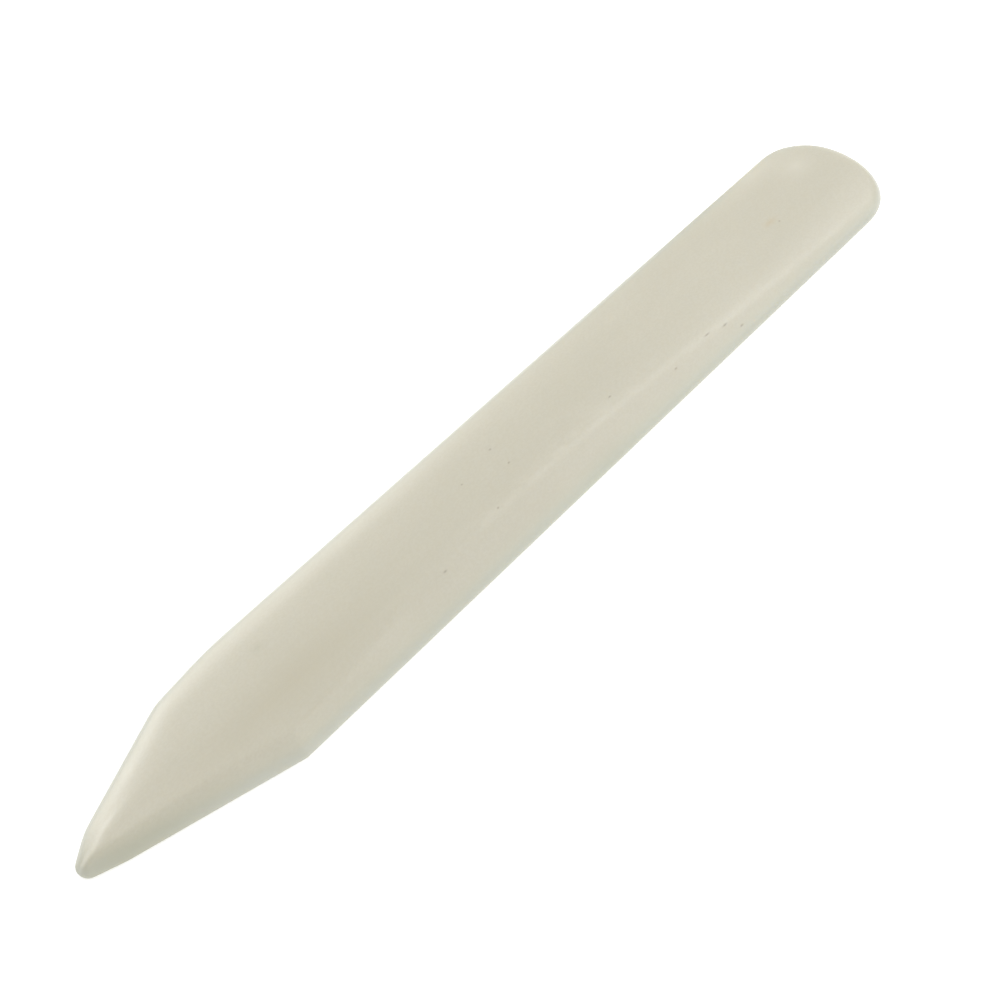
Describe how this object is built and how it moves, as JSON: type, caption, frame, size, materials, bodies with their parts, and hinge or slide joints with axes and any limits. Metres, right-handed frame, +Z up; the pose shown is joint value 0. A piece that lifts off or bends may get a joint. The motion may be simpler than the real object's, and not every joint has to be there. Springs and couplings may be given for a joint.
{
  "type": "bone folder",
  "caption": "Slim flat blade of polished bone for creasing and scoring paper, with a long blunt point at one end and a thin round end at the other.",
  "frame": {"origin": "middle of the blade's length and width, on its flat underside", "axes": "X runs along the blade with the point towards -X and the round end towards +X, Y runs across it, +Z is up out of the crowned face"},
  "size_m": [0.152, 0.0196, 0.0036],
  "materials": {
    "polished_bone": "satin"
  },
  "bodies": {
    "root": {"bone_blade": "polished_bone"}
  },
  "joints": []
}
